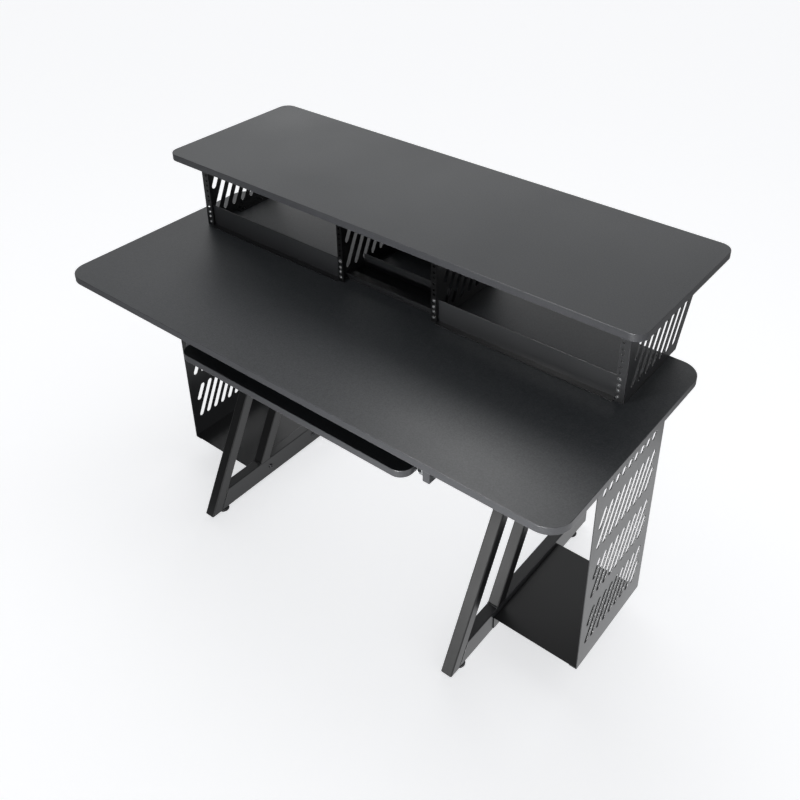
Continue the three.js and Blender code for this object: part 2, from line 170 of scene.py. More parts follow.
def threadRings(values, low, high):
    crest, root = values["radius"], values["radius"] - values["depth"]
    return ridgeRings(low, high, values["pitch"], ((crest, crestShare), (root, rootShare)))


def cutWith(piece, cutter, operation="DIFFERENCE"):
    cut = piece.modifiers.new("cut", "BOOLEAN")
    cut.operation = operation
    cut.object = cutter
    cut.solver = "EXACT"
    applyAll(piece)
    bpy.data.objects.remove(cutter)


def clearPicks(piece):
    mesh = piece.data
    for group in (mesh.vertices, mesh.edges, mesh.polygons):
        group.foreach_set("select", [False] * len(group))


def editFaces(piece, test):
    pick(piece)
    clearPicks(piece)
    for face in piece.data.polygons:
        face.select = test(face)
    bpy.context.tool_settings.mesh_select_mode = (False, False, True)
    bpy.ops.object.mode_set(mode="EDIT")


def editDone():
    bpy.ops.object.mode_set(mode="OBJECT")


def edgesWhere(piece, test):
    # the keys of the edges whose two ends pass the test
    corners = piece.data.vertices
    return {edge.key for edge in piece.data.edges if test(*(corners[end].co for end in edge.vertices))}


def roundEdges(piece, keys, width, steps):
    pick(piece)
    clearPicks(piece)
    for edge in piece.data.edges:
        edge.select = edge.key in keys
    bpy.context.tool_settings.mesh_select_mode = (False, True, False)
    bpy.ops.object.mode_set(mode="EDIT")
    bpy.ops.mesh.bevel(offset=width, segments=steps, affect="EDGES")
    editDone()


def applyAll(piece):
    pick(piece)
    for modifier in list(piece.modifiers):
        bpy.ops.object.modifier_apply(modifier=modifier.name)


def smoothShade(piece, angle):
    pick(piece)
    bpy.ops.object.shade_smooth_by_angle(angle=math.radians(angle))
    evenNormals = piece.modifiers.new("evenNormals", "WEIGHTED_NORMAL")
    evenNormals.keep_sharp = True
    evenNormals.weight = 100
    applyAll(piece)


def putAt(piece, place, turn=(0, 0, 0)):
    piece.rotation_euler = turn
    piece.location = place
    placeInMesh(piece)


def copyPiece(piece, name, place, turn):
    twin = piece.copy()
    twin.data = piece.data.copy()
    twin.name = twin.data.name = name
    bpy.context.scene.collection.objects.link(twin)
    putAt(twin, place, turn)
    return twin


def nodeCopy(nodeName, name):
    # a copy of a CAD node's mesh, its loose triangles merged into whole faces
    twin = bpy.data.objects.new(name, nodes[nodeName].data.copy())
    twin.data.name = name
    bpy.context.scene.collection.objects.link(twin)
    pick(twin)
    bpy.ops.object.mode_set(mode="EDIT")
    bpy.ops.mesh.select_all(action="SELECT")
    bpy.ops.mesh.remove_doubles(threshold=mergeDistance)
    bpy.ops.mesh.dissolve_limited(angle_limit=math.radians(mergeAngle))
    editDone()
    return twin


def finishPiece(piece, body, slotName, materials, *standsFor, smoothAngle=usualAngle):
    smoothShade(piece, smoothAngle)
    piece.data.materials.clear()
    for material in materials:
        piece.data.materials.append(material)
    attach(piece, body)
    if standsFor:
        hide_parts(*standsFor)


def joinPieces(pieces):
    # several small pieces of one finish become one mesh, which keeps the first one's name
    deselectAll()
    for piece in pieces:
        piece.select_set(True)
    bpy.context.view_layer.objects.active = pieces[0]
    bpy.ops.object.join()
    return pieces[0]


# Materials: one shared group gives the fine grain and the slow patches of every coating
textureValues = {"grainDetail": 3, "grainRoughness": 0.6, "patchDetail": 4}


def buildTextureGroup(values):
    group = bpy.data.node_groups.new("coatingTexture", "ShaderNodeTree")
    face = group.interface
    face.new_socket("Place", in_out="INPUT", socket_type="NodeSocketVector")
    for label in ("Grain scale", "Patch scale", "Stretch"):
        face.new_socket(label, in_out="INPUT", socket_type="NodeSocketFloat")
    for label in ("Grain", "Patches"):
        face.new_socket(label, in_out="OUTPUT", socket_type="NodeSocketFloat")
    add = group.nodes.new
    link = group.links.new
    start, end = add("NodeGroupInput"), add("NodeGroupOutput")
    stretch = add("ShaderNodeCombineXYZ")
    stretch.inputs["Y"].default_value = 1
    stretch.inputs["Z"].default_value = 1
    link(start.outputs["Stretch"], stretch.inputs["X"])
    scaled = add("ShaderNodeVectorMath")
    scaled.operation = "MULTIPLY"
    link(start.outputs["Place"], scaled.inputs[0])
    link(stretch.outputs[0], scaled.inputs[1])
    grain = add("ShaderNodeTexNoise")
    grain.inputs["Detail"].default_value = values["grainDetail"]
    grain.inputs["Roughness"].default_value = values["grainRoughness"]
    link(scaled.outputs[0], grain.inputs["Vector"])
    link(start.outputs["Grain scale"], grain.inputs["Scale"])
    patches = add("ShaderNodeTexNoise")
    patches.inputs["Detail"].default_value = values["patchDetail"]
    link(start.outputs["Place"], patches.inputs["Vector"])
    link(start.outputs["Patch scale"], patches.inputs["Scale"])
    link(grain.outputs["Fac"], end.inputs["Grain"])
    link(patches.outputs["Fac"], end.inputs["Patches"])
    return group


textureGroup = buildTextureGroup(textureValues)
noiseRange = (0.3, 0.7)  # nearly all values of a noise texture


def mapValue(tree, source, outRange, inRange=noiseRange, shape="LINEAR"):
    change = tree.nodes.new("ShaderNodeMapRange")
    change.interpolation_type = shape
    for label, value in zip(("From Min", "From Max", "To Min", "To Max"), (*inRange, *outRange)):
        change.inputs[label].default_value = value
    tree.links.new(source, change.inputs["Value"])
    return change.outputs["Result"]


def mixColour(tree, amount, first, second):
    mix = tree.nodes.new("ShaderNodeMix")
    mix.data_type = "RGBA"
    mix.inputs[6].default_value = (*first, 1)
    mix.inputs[7].default_value = (*second, 1)
    tree.links.new(amount, mix.inputs[0])
    return mix.outputs[2]


def makeCoating(name, values):
    material = bpy.data.materials.new(name)
    material.use_nodes = True
    tree = material.node_tree
    shader = tree.nodes["Principled BSDF"]
    where = tree.nodes.new("ShaderNodeTexCoord")
    texture = tree.nodes.new("ShaderNodeGroup")
    texture.node_tree = textureGroup
    texture.inputs["Grain scale"].default_value = values["grainScale"]
    texture.inputs["Patch scale"].default_value = values["patchScale"]
    texture.inputs["Stretch"].default_value = values.get("stretch", 1.0)
    tree.links.new(where.outputs["Object"], texture.inputs["Place"])
    colourPart = mapValue(tree, texture.outputs["Grain"], (0, 1))
    tree.links.new(mixColour(tree, colourPart, values["dark"], values["light"]), shader.inputs["Base Color"])
    roughness = mapValue(tree, texture.outputs["Patches"], values["roughness"])
    tree.links.new(roughness, shader.inputs["Roughness"])
    bump = tree.nodes.new("ShaderNodeBump")
    bump.inputs["Strength"].default_value = values["bump"]
    bump.inputs["Distance"].default_value = values["bumpDepth"]
    tree.links.new(texture.outputs["Grain"], bump.inputs["Height"])
    tree.links.new(bump.outputs["Normal"], shader.inputs["Normal"])
    shader.inputs["Metallic"].default_value = values.get("metallic", 0)
    shader.inputs["IOR"].default_value = values.get("ior", 1.5)
    return material


laminateValues = {
    "dark": (0.0055, 0.0070, 0.0085), "light": (0.021, 0.0225, 0.0245),
    "grainScale": 330, "patchScale": 2.4, "roughness": (0.41, 0.48), "ior": 1.45,
    "bump": 0.3, "bumpDepth": 0.0005,
}
edgeBandValues = {
    "dark": (0.012, 0.0125, 0.0138), "light": (0.021, 0.0215, 0.0235),
    "grainScale": 500, "patchScale": 5, "roughness": (0.28, 0.36),
    "bump": 0.15, "bumpDepth": 0.0002,
}
powderCoatValues = {
    "dark": (0.0045, 0.0048, 0.0053), "light": (0.0090, 0.0093, 0.0100),
    "grainScale": 620, "patchScale": 4, "roughness": (0.27, 0.33),
    "bump": 0.12, "bumpDepth": 0.0002,
}
zincValues = {
    "dark": (0.42, 0.43, 0.44), "light": (0.56, 0.57, 0.58),
    "grainScale": 420, "patchScale": 40, "roughness": (0.27, 0.36), "stretch": 0.1,
    "bump": 0.1, "bumpDepth": 0.0002, "metallic": 1,
}
blackSteelValues = {
    "dark": (0.030, 0.030, 0.032), "light": (0.060, 0.060, 0.063),
    "grainScale": 600, "patchScale": 60, "roughness": (0.28, 0.40),
    "bump": 0.1, "bumpDepth": 0.0001, "metallic": 0.85,
}
plasticValues = {
    "dark": (0.018, 0.018, 0.019), "light": (0.028, 0.028, 0.029),
    "grainScale": 800, "patchScale": 12, "roughness": (0.42, 0.55),
    "bump": 0.2, "bumpDepth": 0.0003,
}
laminate = makeCoating("blackLaminate", laminateValues)
edgeBand = makeCoating("blackEdgeBand", edgeBandValues)
powderCoat = makeCoating("blackPowderCoat", powderCoatValues)
zinc = makeCoating("brightZinc", zincValues)
blackSteel = makeCoating("blackOxide", blackSteelValues)
plastic = makeCoating("blackPlastic", plasticValues)
print("materials ready")

# Boards: round corners, a glued edge band with a small arris, textured laminate on both faces
boardValues = {
    "bandThickness": 0.0018,
    "arris": 0.0012,
    "arrisSteps": 4,
    "cornerSteps": 14,
    "broadShare": 0.9,
    "pieces": {  # name, body, radius of the corners
        "desk_top": ("deskBoard", "frame", 0.050),
        "upper_shelf": ("shelfBoard", "frame", 0.030),
        "keyboard_tray": ("keyboardBoard", "keyboard_tray", 0.030),
        "tray_hanger_left": ("hangerBoardLeft", "frame", 0),
        "tray_hanger_right": ("hangerBoardRight", "frame", 0),
    },
}


def makeBoard(nodeName, values):
    name, body, radius = values["pieces"][nodeName]
    low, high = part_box(nodeName)
    flat = min(range(3), key=lambda axis: high[axis] - low[axis])  # the axis across the board
    board = startBlock(name, low, high)
    if radius:
        across = edgesWhere(board, lambda a, b: abs(a[flat] - b[flat]) > near)
        roundEdges(board, across, radius, values["cornerSteps"])

    def broad(face):
        return abs(face.normal[flat]) > facing

    editFaces(board, broad)
    bpy.ops.mesh.region_to_loop()
    bpy.ops.mesh.bevel(offset=values["arris"], segments=values["arrisSteps"], affect="EDGES")
    editDone()
    editFaces(board, broad)
    bpy.ops.mesh.inset(thickness=values["bandThickness"] - values["arris"], use_individual=True)
    editDone()
    finishPiece(board, body, "laminate_board", (laminate, edgeBand), nodeName)
    limit = max(face.area for face in board.data.polygons) * values["broadShare"]
    for face in board.data.polygons:
        face.material_index = 0 if face.area > limit and broad(face) else 1


for nodeName in boardValues["pieces"]:
    makeBoard(nodeName, boardValues)
print("boards made")

# Steel: tubes and sheets are their CAD forms with broken edges, the sheets with rounded fold lines
steelValues = {
    "sheetArris": 0.00035,
    "tubeArris": 0.0003,
    "arrisSteps": 2,
    "foldRadius": 0.0019,
    "foldSteps": 3,
    "foldLeaf": 0.0045,
    "foldLength": 0.02,
    "foldDrop": 0.0005,
    "foldTurn": 0.5,
    "softTop": {"bay_strip": {"behind": 0.0166, "width": 0.0009, "steps": 4}},
    "arrisAngle": 60,
    "smoothAngle": 50,
    "sheets": ["holder_panel", "holder_plate", "rack_upright", "rack_divider", "bay_strip"],
    "single": ["centre_cable_tray", "centre_back_panel"],
    "tubes": ["bottom_rail", "front_leg", "rear_strut", "head_rail"],
    "beams": ["cross_beam_front", "cross_beam_rear"],
    "caps": ["bottom_rail_cap", "head_rail_cap_front", "head_rail_cap_rear"],
}


def roundFolds(piece, values):
    # the outer line of each fold: long, sharp and between two broad faces
    mesh = piece.data
    corners = mesh.vertices
    facesAt = {}
    for face in mesh.polygons:
        for key in face.edge_keys:
            facesAt.setdefault(key, []).append(face)

    def broad(face):
        outline = sum((corners[start].co - corners[end].co).length for start, end in face.edge_keys)
        return 2 * face.area / outline > values["foldLeaf"]

    chosen = set()
    for key, faces in facesAt.items():
        start, end = corners[key[0]].co, corners[key[1]].co
        if len(faces) != 2 or (end - start).length < values["foldLength"]:
            continue
        first, second = faces
        outward = (second.center - start).dot(first.normal) < -values["foldDrop"]
        turned = abs(first.normal.dot(second.normal)) < values["foldTurn"]
        if outward and turned and broad(first) and broad(second):
            chosen.add(key)
    if chosen:
        roundEdges(piece, chosen, values["foldRadius"], values["foldSteps"])


def softenTop(piece, values):
    # the front arris of a sheet's top edge
    top = max(corner.co.z for corner in piece.data.vertices)
    front = edgesWhere(piece, lambda a, b: min(a.z, b.z) > top - near and max(a.y, b.y) < values["behind"])
    roundEdges(piece, front, values["width"], values["steps"])


def breakEdges(nodeName, width, slotName, material, body="frame", folded=False):
    piece = nodeCopy(nodeName, camelName(nodeName))
    for start, topValues in steelValues["softTop"].items():
        if nodeName.startswith(start):
            softenTop(piece, topValues)
    if folded:
        roundFolds(piece, steelValues)
    arris = piece.modifiers.new("arris", "BEVEL")
    arris.width = width
    arris.segments = steelValues["arrisSteps"]
    arris.limit_method = "ANGLE"
    arris.angle_limit = math.radians(steelValues["arrisAngle"])
    arris.miter_outer = "MITER_ARC"
    applyAll(piece)
    finishPiece(piece, body, slotName, (material,), nodeName, smoothAngle=steelValues["smoothAngle"])


for word in sides:
    for start in steelValues["sheets"]:
        breakEdges(f"{start}_{word}", steelValues["sheetArris"], "coated_steel", powderCoat,
                   folded=True)
    for start in steelValues["tubes"]:
        breakEdges(f"{start}_{word}", steelValues["tubeArris"], "coated_steel", powderCoat)
    for start in steelValues["caps"]:
        breakEdges(f"{start}_{word}", steelValues["tubeArris"], "black_plastic", plastic)
for nodeName in steelValues["single"]:
    breakEdges(nodeName, steelValues["sheetArris"], "coated_steel", powderCoat, folded=True)
for nodeName in steelValues["beams"]:
    breakEdges(nodeName, steelValues["sheetArris"], "coated_steel", powderCoat)
print("steel made")

# Slides of the keyboard tray: three members on each side
slideValues = {"arris": 0.0003}
for word in sides:
    members = {"outer": "frame", "middle": f"slide_middle_{word}", "inner": "keyboard_tray"}
    for member, body in members.items():
        breakEdges(f"slide_{member}_{word}", slideValues["arris"], "zinc_steel", zinc, body)
print("slides made")

# A narrow bead lies along the foot of each bay strip, where it meets the desk top
stripFootValues = {
    "depth": 0.0026,
    "height": 0.0026,
    "rounding": 0.0010,
    "steps": 3,
    "clearOfStrip": 0.0002,
    "clearOfEnds": 0.0006,
}


def makeStripFoot(word, side, values):
    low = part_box(f"bay_strip_{word}")[0]
    flangeLow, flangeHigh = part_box(f"rack_upright_{word}")
    dividerLow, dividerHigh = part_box(f"rack_divider_{word}")
    ends = (dividerHigh.x, flangeLow.x) if side > 0 else (flangeHigh.x, dividerLow.x)
    rear, short = low.y - values["clearOfStrip"], values["clearOfEnds"]
    bead = startBlock(f"stripFoot{word.capitalize()}",
                      (ends[0] + short, rear - values["depth"], low.z),
                      (ends[1] - short, rear, low.z + values["height"]))
    front = edgesWhere(bead, lambda a, b: max(a.y, b.y) < rear - near and min(a.z, b.z) > low.z + near)
    roundEdges(bead, front, values["rounding"], values["steps"])
    finishPiece(bead, "frame", "coated_steel", (powderCoat,))


for word, side in sides.items():
    makeStripFoot(word, side, stripFootValues)
print("strip feet made")

# Levelling feet: a moulded glide with a hexagon collar, a threaded zinc stud and a pressed bush
footValues = {
    "glide": [(0.0132, 0), (0.0147, 0.0003), (0.0158, 0.0013), (0.0160, 0.0019), (0.0160, 0.0028),
              (0.0155, 0.0035), (0.0142, 0.0041), (0.0115, 0.0047), (0.0092, 0.0052), (0.0080, 0.0056)],
    "glideSides": 48,
    "collar": {"radius": 0.0080, "low": 0.0050, "high": 0.0075, "chamfer": 0.0005, "steps": 2},
    "stud": {"radius": 0.0040, "low": 0.0072, "high": 0.0340, "pitch": 0.00125, "depth": 0.00055,
             "lowInset": 0.0006, "highInset": 0.0012, "plainEnd": 0.0006, "sides": 20, "smoothAngle": 30},
    "bushArris": 0.0003,
}


def makeFoot(place, values):
    low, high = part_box(f"levelling_foot_{place}")
    centre = ((low.x + high.x) / 2, (low.y + high.y) / 2, 0)
    body = f"foot_{place}"
    glide = turnUp(camelName(f"glide_{place}"), values["glide"], values["glideSides"])
    collar = values["collar"]
    grip = startDisc("collar", collar["radius"], collar["low"], collar["high"], hexagon)
    top = collar["high"] - near
    rims = edgesWhere(grip, lambda a, b: min(a.z, b.z) > top or abs(a.z - b.z) > near)
    roundEdges(grip, rims, collar["chamfer"], collar["steps"])
    joinPieces([glide, grip])
    putAt(glide, centre)
    finishPiece(glide, body, "black_plastic", (plastic,), f"levelling_foot_{place}")
    stud = values["stud"]
    rings = [(stud["radius"] - stud["lowInset"], stud["low"])]
    rings += threadRings(stud, stud["low"], stud["high"] - stud["plainEnd"])
    rings.append((stud["radius"] - stud["highInset"], stud["high"]))
    rod = turnUp(camelName(f"footStud_{place}"), rings, stud["sides"])
    putAt(rod, centre)
    finishPiece(rod, body, "zinc_steel", (zinc,), smoothAngle=stud["smoothAngle"])
    breakEdges(f"foot_bush_{place}", values["bushArris"], "zinc_steel", zinc)


for word in sides:
    for end in ("front", "rear"):
        makeFoot(f"{end}_{word}", footValues)
print("feet made")

# Holder bolts: black button heads with a hexagon socket, chamfered nuts
boltValues = {
    "head": [(0.0036, 0), (0.0048, 0.0002), (0.0057, 0.0009), (0.0063, 0.0020), (0.0065, 0.0030),
             (0.0065, 0.0036)],
    "shoulder": 0.00001,
    "thread": {"radius": 0.0030, "length": 0.014, "pitch": 0.0010, "depth": 0.00045,
               "plainStart": 0.0005, "plainEnd": 0.0006, "endInset": 0.0008},
    "sides": 28,
    "socket": {"radius": 0.0023, "depth": 0.0021},
    "smoothAngle": 35,
}
nutValues = {
    "radius": 0.0058,
    "height": 0.0050,
    "turned": {"radius": 0.00505, "chamfer": 0.0006, "clear": 0.0002, "sides": 36},
    "bore": {"radius": 0.00305, "sides": 24},
    "smoothAngle": 30,
}


def setAcross(piece, nodeName, side, values):
    # lay it along X, its first end towards the desk's middle
    low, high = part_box(nodeName)
    place = (low.x if side > 0 else high.x, (low.y + high.y) / 2, (low.z + high.z) / 2)
    putAt(piece, place, (0, math.radians(90 * side), 0))
    finishPiece(piece, "frame", "black_steel", (blackSteel,), nodeName,
                smoothAngle=values["smoothAngle"])


def makeBolt(nodeName, side, values):
    low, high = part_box(nodeName)
    length = high.x - low.x
    thread, socket = values["thread"], values["socket"]
    radius, threadStart = thread["radius"], length - thread["length"]
    headTop = values["head"][-1][1]
    rings = values["head"] + [(radius, headTop + values["shoulder"]), (radius, threadStart)]
    rings += threadRings(thread, threadStart + thread["plainStart"], length - thread["plainEnd"])
    rings.append((radius - thread["endInset"], length))
    bolt = turnUp(camelName(nodeName), rings, values["sides"])
    cutWith(bolt, startDisc("socket", socket["radius"], -past, socket["depth"], hexagon))
    setAcross(bolt, nodeName, side, values)


def makeNut(nodeName, side, values):
    height, turned, bore = values["height"], values["turned"], values["bore"]
    nut = startDisc(camelName(nodeName), values["radius"], 0, height, hexagon)
    wide = values["radius"] + turned["clear"]
    cone = [(turned["radius"], -near), (wide, turned["chamfer"]),
            (wide, height - turned["chamfer"]), (turned["radius"], height + near)]
    cutWith(nut, turnUp("chamfers", cone, turned["sides"]), "INTERSECT")
    cutWith(nut, startDisc("bore", bore["radius"], -past, height + past, bore["sides"]))
    setAcross(nut, nodeName, side, values)


for word, side in sides.items():
    for end in ("front", "rear"):
        makeBolt(f"holder_bolt_{end}_{word}", side, boltValues)
        makeNut(f"holder_nut_{end}_{word}", side, nutValues)
print("holder bolts made")

# Rack screws: zinc pan heads on black washers in the four lowest holes of each upright
rackScrewValues = {
    "head": [(0.0030, 0), (0.0030, 0.0008), (0.0028, 0.0014), (0.0023, 0.0018), (0.0016, 0.0021),
             (0.0008, 0.0022)],
    "recess": {"length": 0.0038, "width": 0.0009, "depth": 0.0013, "taper": (0.35, 0.8, 1)},
    "sides": 28,
    "washer": [(0.0046, 0), (0.0046, 0.0006), (0.0042, 0.0009)],
    "washerSides": 32,
    "columns": {"Outer": 0.6064, "Inner": 0.1413},
    "flangeFace": 0.0085,
    "heights": (0.7355, 0.751375, 0.764075, 0.77995),
    "twists": (12, 63, 37, 81),
    "sideTwist": 20,
    "smoothAngle": 35,
}


def makeScrewHead(name, values):
    head = turnUp(name, values["head"], values["sides"])
    recess = values["recess"]
    top = values["head"][-1][1]
    long, wide, floor = recess["length"] / 2, recess["width"] / 2, top - recess["depth"]
    for turn in (0, 90):
        arm = startBlock("arm", (-long, -wide, floor), (long, wide, top + past))
        editFaces(arm, lambda face: face.normal.z < -facing)
        bpy.ops.transform.resize(value=recess["taper"], center_override=(0, 0, floor))
        editDone()
        putAt(arm, (0, 0, 0), (0, 0, math.radians(turn)))
        cutWith(head, arm)
    return head


def makeRackScrews(ending, across, side, values, head, washer):
    screws, washers = [], []
    face = values["flangeFace"]
    washerFace = face - values["washer"][-1][1]
    for height, twist in zip(values["heights"], values["twists"]):
        turn = (math.radians(90), math.radians(twist + values["sideTwist"] * side), 0)
        screws.append(copyPiece(head, "rackScrews" + ending, (side * across, washerFace, height), turn))
        washers.append(copyPiece(washer, "rackWashers" + ending, (side * across, face, height), turn))
    for row, slotName, material in ((screws, "zinc_steel", zinc), (washers, "black_plastic", plastic)):
        group = joinPieces(row)
        finishPiece(group, "frame", slotName, (material,), smoothAngle=values["smoothAngle"])


zincHead = makeScrewHead("zincHead", rackScrewValues)
washer = turnUp("washer", rackScrewValues["washer"], rackScrewValues["washerSides"])
for word, side in sides.items():
    for column, across in rackScrewValues["columns"].items():
        makeRackScrews(column + word.capitalize(), across, side, rackScrewValues, zincHead, washer)
for pattern in (zincHead, washer):
    bpy.data.objects.remove(pattern)
print("rack screws made")

# Flange screws: black pan heads hold the uprights to both boards and the holder panels under the
# desk top. A row is its flange, its distance from the piece's outer side and its places along Y.
flangeScrewValues = {
    "head": [(0.0040, 0), (0.0040, 0.0010), (0.0038, 0.0016), (0.0031, 0.0021), (0.0021, 0.0024),
             (0.0010, 0.0025)],
    "recess": {"length": 0.0046, "width": 0.0010, "depth": 0.0015, "taper": (0.35, 0.8, 1)},
    "sides": 28,
    "sheet": 0.0020,
    "rows": {
        "rack_upright": (("low", 0.0090, (0.125, 0.194)), ("high", 0.0090, (0.040, 0.130, 0.215))),
        "rack_divider": (("low", 0.0090, (0.125, 0.194)), ("high", 0.0090, (0.040, 0.130, 0.215))),
        "holder_panel": (("high", 0.0125, (-0.090, 0.033, 0.155)),),
    },
    "firstTwist": 25,
    "nextTwist": 50,
    "smoothAngle": 35,
}


def makeFlangeScrews(start, word, side, values, head):
    low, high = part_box(f"{start}_{word}")
    ending = start.split("_")[1].capitalize() + word.capitalize()
    # on the low flange the heads stand up, under the high one they hang
    flanges = {"low": (low.z + values["sheet"], 0), "high": (high.z - values["sheet"], math.pi)}
    heads = []
    for level, inward, places in values["rows"][start]:
        across = (high.x if side > 0 else low.x) - side * inward
        height, turnedOver = flanges[level]
        for index, along in enumerate(places):
            twist = math.radians(values["firstTwist"] + values["nextTwist"] * index)
            heads.append(copyPiece(head, "flangeScrews" + ending, (across, along, height),
                                   (turnedOver, 0, twist)))
    group = joinPieces(heads)
    finishPiece(group, "frame", "black_steel", (blackSteel,), smoothAngle=values["smoothAngle"])


blackHead = makeScrewHead("blackHead", flangeScrewValues)
for word, side in sides.items():
    for start in flangeScrewValues["rows"]:
        makeFlangeScrews(start, word, side, flangeScrewValues, blackHead)
bpy.data.objects.remove(blackHead)
print("flange screws made")

# Weld beads where the legs and struts meet the bottom and head rails
weldValues = {
    "crest": 0.0021,
    "valley": 0.0017,
    "pitch": 0.0016,
    "crestShare": 0.55,
    "sides": 12,
    "clearOfEnds": 0.0008,
    "outOfCorner": 0.0005,
    "legFrontY": -0.2845,
    "railUnderside": 0.0124,
    "railTop": 0.0704,
    "slope": 0.518,
    "strutSpacing": 0.156,
    "tubeAlongY": 0.0338,
    "smoothAngle": 70,
}


def makeWelds(word, values):
    low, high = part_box(f"rear_strut_{word}")
    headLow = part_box(f"head_rail_{word}")[0].z
    length = high.x - low.x - 2 * values["clearOfEnds"]

    def frontAt(height):
        return values["legFrontY"] + values["slope"] * (height - values["railUnderside"])

    marks = ((values["valley"], 0), (values["crest"], values["crestShare"]))
    rings = ridgeRings(0, length, values["pitch"], marks) + [(values["valley"], length)]
    bead = turnUp("bead", rings, values["sides"])
    deep, spacing, railTop = values["tubeAlongY"], values["strutSpacing"], values["railTop"]
    atTop, out = frontAt(railTop), values["outOfCorner"]
    # each corner: place along Y, height, and which way the bead leans out of it
    corners = [(atTop + deep, railTop, 1, 1), (atTop + spacing, railTop, -1, 1),
               (atTop + spacing + deep, railTop, 1, 1)]
    for start in (frontAt(headLow), frontAt(headLow) + spacing):
        corners += [(start, headLow, -1, -1), (start + deep, headLow, 1, -1)]
    beads = []
    for along, height, outward, upward in corners:
        place = (low.x + values["clearOfEnds"], along + outward * out, height + upward * out)
        beads.append(copyPiece(bead, "weldBeads" + word.capitalize(), place, (0, math.radians(90), 0)))
    bpy.data.objects.remove(bead)
    group = joinPieces(beads)
    finishPiece(group, "frame", "coated_steel", (powderCoat,), smoothAngle=values["smoothAngle"])


for word in sides:
    makeWelds(word, weldValues)
print("weld beads made")

# Floor, backdrop colour and lights; some lamps leave out, or light only, certain pieces
stageValues = {
    "floorSize": 40,
    "floorSeen": (0.75, 0.751, 0.754),
    "floorReflected": (0.36, 0.361, 0.363),
    "floorGlow": {"near": 0.655, "far": 0.630, "from": -1.6, "to": 2.2},
    "backdrop": (0.960, 0.967, 0.982),
    # painted pool of light: the floor glows round this centre for reflected rays only, fading outwards
    "pool": {"centre": (0.70, -0.25), "from": 0.85, "to": 1.45, "near": 1, "far": 0.08},
    "worldStrength": 0.70,
    "worldSeen": 0.97,
    "dimSide": {"towards": (-0.80, -0.60, 0.0), "from": 0.25, "to": 0.85, "strength": 0.08},
    "lowBack": {"towards": (-0.40, 0.85, -0.35), "from": 0.60, "to": 0.95, "more": 1.9},
    "leftSky": {"towards": (-0.75, 0.45, 0.48), "from": 0.86, "to": 0.99, "more": 0.54},
    "dimTop": {"from": 0.69, "to": 0.86, "strength": 0.25},
    "lamps": {
        "overhead": {"place": (-0.10, 0.20, 2.4), "aim": (0.0, 0.1, 0.7), "size": (1.6, 1.0), "power": 8},
        "aboveShelf": {"place": (0.0, 0.45, 1.6), "aim": (0.1, 0.0, 0.7), "size": (0.6, 0.4), "power": 5,
                       "misses": ("floor", "shelfBoard")},
        "highLeft": {"place": (-0.40, -1.6, 2.3), "aim": (0.4, -0.2, 0.8), "size": (0.5, 0.5), "power": 30,
                     "onlyLights": ("deskBoard", "shelfBoard", "bayStripLeft", "bayStripRight")},
        "lowLeft": {"place": (-0.74, -3.0, 0.36), "aim": (0.42, -0.2, 0.35), "size": (0.9, 0.6), "power": 6,
                    "onlyLights": ("frontLegRight", "rearStrutRight")},
        "frontLeft": {"place": (-0.30, -3.1, 0.40), "aim": (0.5, -0.1, 0.4), "size": (0.9, 0.66), "power": 9,
                      "misses": ("floor",)},
        "frontRight": {"place": (1.1, -3.0, 0.54), "aim": (0.6, -0.3, 0.5), "size": (1.8, 0.66), "power": 42,
                       "spread": 54,
                       "misses": ("floor", "frontLegLeft", "frontLegRight", "rearStrutLeft", "rearStrutRight",
                                  "rackScrewsOuterRight", "rackScrewsInnerLeft", "rackScrewsInnerRight",
                                  "rackDividerLeft", "rackDividerRight", "holderPlateRight")},
        "right": {"place": (2.9, -0.3, 2.0), "aim": (0.5, 0.0, 0.3), "size": (1.4, 1.4), "power": 25,
                  "misses": ("floor",)},
    },
}


def combine(tree, operation, first, second):
    both = tree.nodes.new("ShaderNodeMath")
    both.operation = operation
    tree.links.new(first, both.inputs[0])
    tree.links.new(second, both.inputs[1])
    return both.outputs[0]


def measure(tree, operation, place, point):
    compare = tree.nodes.new("ShaderNodeVectorMath")
    compare.operation = operation
    compare.inputs[1].default_value = point
    tree.links.new(place, compare.inputs[0])
    return compare.outputs["Value"]


def fade(tree, source, values, near, far):
    # goes smoothly over from the near value to the far one
    return mapValue(tree, source, (near, far), (values["from"], values["to"]), "SMOOTHSTEP")


def blendValue(tree, amount, low, high):
    # low and high are numbers or sockets
    mix = tree.nodes.new("ShaderNodeMix")
    mix.data_type = "FLOAT"
    tree.links.new(amount, mix.inputs[0])
    for socket, value in ((mix.inputs[2], low), (mix.inputs[3], high)):
        if isinstance(value, (int, float)):
            socket.default_value = value
        else:
            tree.links.new(value, socket)
    return mix.outputs[0]


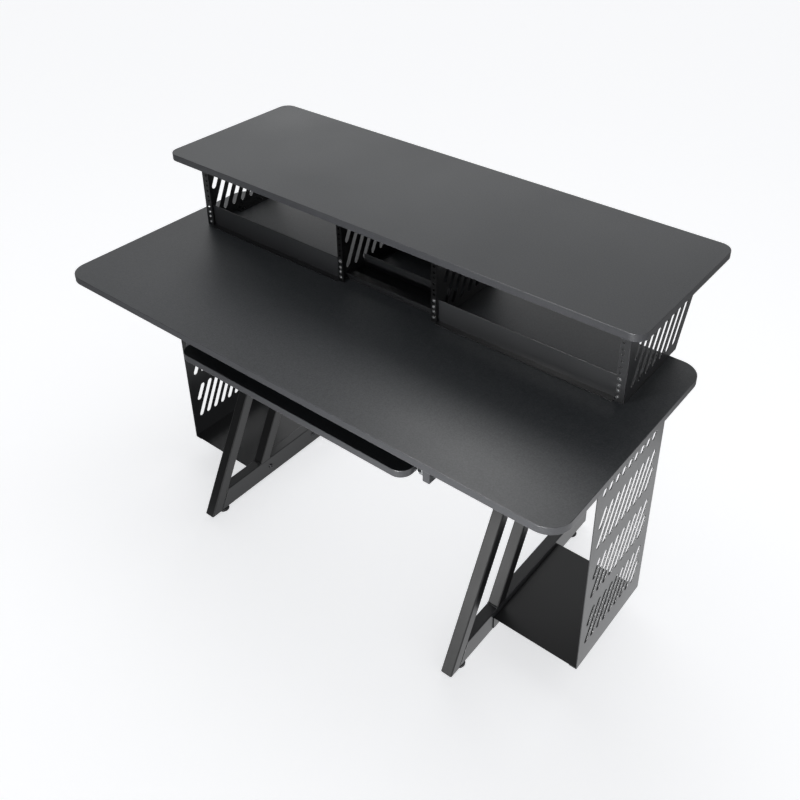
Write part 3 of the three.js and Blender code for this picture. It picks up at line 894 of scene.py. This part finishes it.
def makeFloor(values):
    deselectAll()
    bpy.ops.mesh.primitive_plane_add(size=values["floorSize"], location=(0, 0, 0))
    floor = bpy.context.object
    floor.name = "floor"
    material = bpy.data.materials.new("paleFloor")
    material.use_nodes = True
    tree = material.node_tree
    link = tree.links.new
    tree.nodes.remove(tree.nodes["Principled BSDF"])
    path = tree.nodes.new("ShaderNodeLightPath").outputs
    where = tree.nodes.new("ShaderNodeTexCoord").outputs["Object"]
    matte = tree.nodes.new("ShaderNodeBsdfDiffuse")
    colour = mixColour(tree, path["Is Camera Ray"], values["floorReflected"], values["floorSeen"])
    link(colour, matte.inputs["Color"])
    glow = tree.nodes.new("ShaderNodeEmission")
    glow.inputs["Color"].default_value = (*values["backdrop"], 1)
    # reflections show a painted pool of light, the floor's own glow round the desk; the camera sees an even
    # white floor
    pool = values["pool"]
    paintedPoolGlow = fade(tree, measure(tree, "DISTANCE", where, (*pool["centre"], 0)), pool,
                    pool["near"], pool["far"])
    reflected = combine(tree, "MAXIMUM", path["Is Glossy Ray"], path["Is Transmission Ray"])
    inReflection = blendValue(tree, reflected, 0, paintedPoolGlow)
    # the camera's glow evens out what the lamps leave darker at the back
    seen = values["floorGlow"]
    parts = tree.nodes.new("ShaderNodeSeparateXYZ")
    link(where, parts.inputs[0])
    seenGlow = fade(tree, parts.outputs["Y"], seen, seen["near"], seen["far"])
    link(blendValue(tree, path["Is Camera Ray"], inReflection, seenGlow), glow.inputs["Strength"])
    both = tree.nodes.new("ShaderNodeAddShader")
    link(matte.outputs[0], both.inputs[0])
    link(glow.outputs[0], both.inputs[1])
    link(both.outputs[0], tree.nodes["Material Output"].inputs["Surface"])
    floor.data.materials.append(material)


def makeWorld(values):
    world = bpy.data.worlds.new("studio")
    bpy.context.scene.world = world
    world.use_nodes = True
    tree = world.node_tree
    background = tree.nodes["Background"]
    background.inputs["Color"].default_value = (*values["backdrop"], 1)
    where = tree.nodes.new("ShaderNodeTexCoord").outputs["Generated"]
    # the room is dim on one side and overhead, brighter low at the back and high at the left
    dimSide, dimTop = values["dimSide"], values["dimTop"]
    aside = fade(tree, measure(tree, "DOT_PRODUCT", where, dimSide["towards"]), dimSide,
                 values["worldStrength"], dimSide["strength"])
    parts = tree.nodes.new("ShaderNodeSeparateXYZ")
    tree.links.new(where, parts.inputs[0])
    above = fade(tree, parts.outputs["Z"], dimTop, 1, dimTop["strength"])
    level = combine(tree, "MULTIPLY", aside, above)
    for patch in (values["lowBack"], values["leftSky"]):
        more = fade(tree, measure(tree, "DOT_PRODUCT", where, patch["towards"]), patch, 0, patch["more"])
        level = combine(tree, "ADD", level, more)
    path = tree.nodes.new("ShaderNodeLightPath").outputs
    strength = blendValue(tree, path["Is Camera Ray"], level, values["worldSeen"])
    tree.links.new(strength, background.inputs["Strength"])


def makeLamp(name, values):
    lamp = bpy.data.lights.new(name, "AREA")
    lamp.shape = "RECTANGLE"
    lamp.energy = values["power"]
    lamp.size, lamp.size_y = values["size"]
    lamp.spread = math.radians(values.get("spread", 180))
    holder = bpy.data.objects.new(name, lamp)
    bpy.context.scene.collection.objects.link(holder)
    holder.visible_camera = False
    holder.location = values["place"]
    holder.rotation_euler = (Vector(values["aim"]) - holder.location).to_track_quat("-Z", "Y").to_euler()
    for key, state in (("misses", "EXCLUDE"), ("onlyLights", "INCLUDE")):
        if key in values:
            listed = bpy.data.collections.new(name + key.capitalize())
            for listedName in values[key]:
                listed.objects.link(bpy.data.objects[listedName])
            holder.light_linking.receiver_collection = listed
            for member in listed.collection_objects:
                member.light_linking.link_state = state


def makeStage(values):
    makeFloor(values)
    makeWorld(values)
    for name, lampValues in values["lamps"].items():
        makeLamp(name, lampValues)


makeStage(stageValues)
bpy.context.scene.view_settings.view_transform = "Standard"
print("stage ready")
